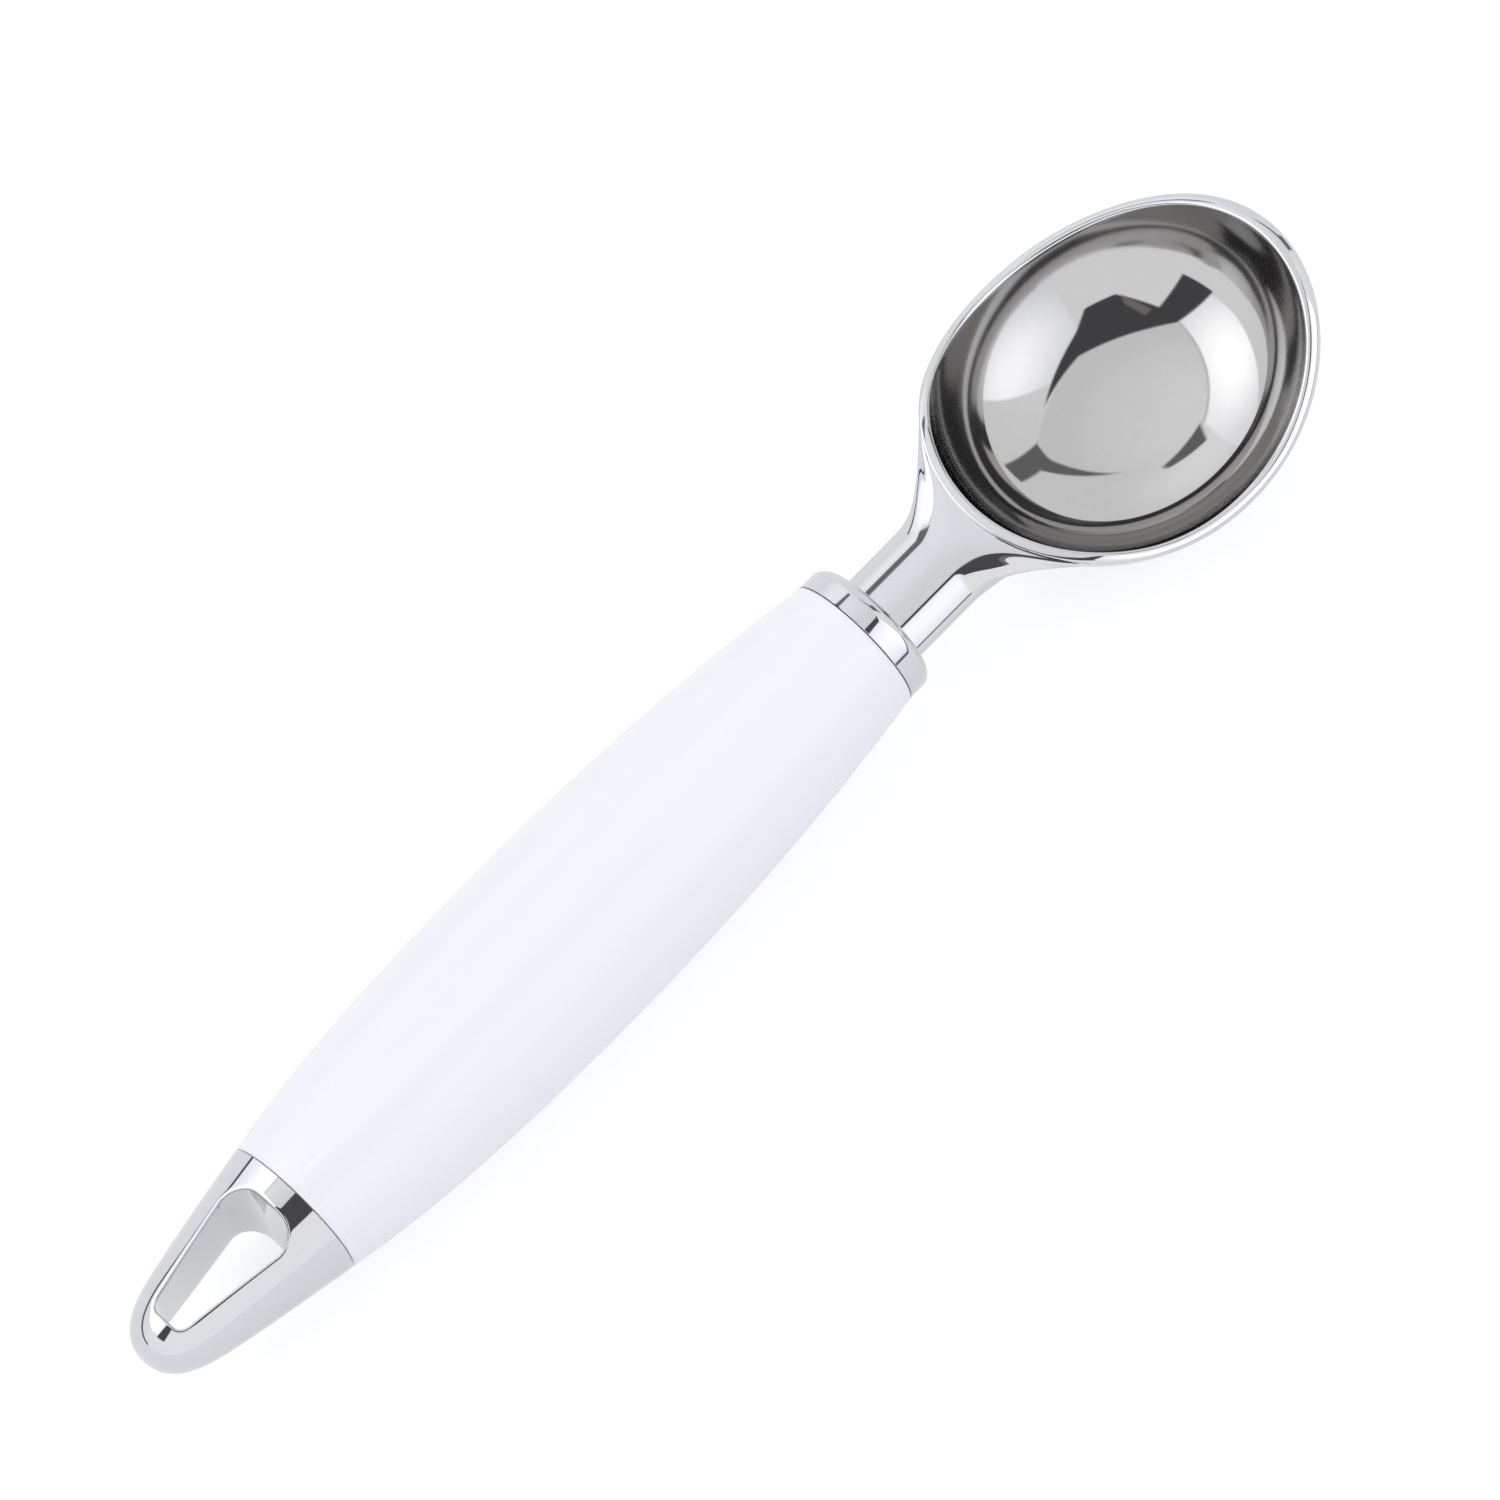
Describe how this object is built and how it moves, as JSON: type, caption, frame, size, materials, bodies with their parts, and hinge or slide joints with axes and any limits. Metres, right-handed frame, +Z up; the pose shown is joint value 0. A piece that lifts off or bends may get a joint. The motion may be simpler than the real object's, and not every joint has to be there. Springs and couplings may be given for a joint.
{
  "type": "ice cream scoop",
  "caption": "Ice cream scoop with a chromed saddle-rimmed bowl on a flared neck, a white barrel handle between chromed ferrule and end cap, and a tapered hanging hole.",
  "frame": {"origin": "on the table, under the middle of the object's box", "axes": "+X along the handle from the end cap to the lip of the bowl, +Y across the bowl, +Z up out of the bowl's mouth, with the scoop lying at rest on its bowl and the belly of its handle"},
  "size_m": [0.1948, 0.043, 0.0262],
  "materials": {
    "chromed_casting": "die-cast zinc alloy, polished and chromed to a mirror",
    "chromed_trim": "die-cast zinc alloy, polished and chromed to a mirror",
    "white_plastic": "moulded white ABS, smooth gloss with a faint moulding texture",
    "zinc_plated_steel": "zinc plated steel, dull bright",
    "silicone": "moulded silicone rubber, matt"
  },
  "bodies": {
    "root": {"scoop_head": "chromed_casting", "front_ferrule": "chromed_trim", "front_gasket": "silicone", "handle_sleeve": "white_plastic", "flat_washer": "zinc_plated_steel", "spring_washer": "zinc_plated_steel", "clamp_screw": "zinc_plated_steel", "cap_seal": "silicone", "end_cap": "chromed_trim"}
  },
  "joints": []
}
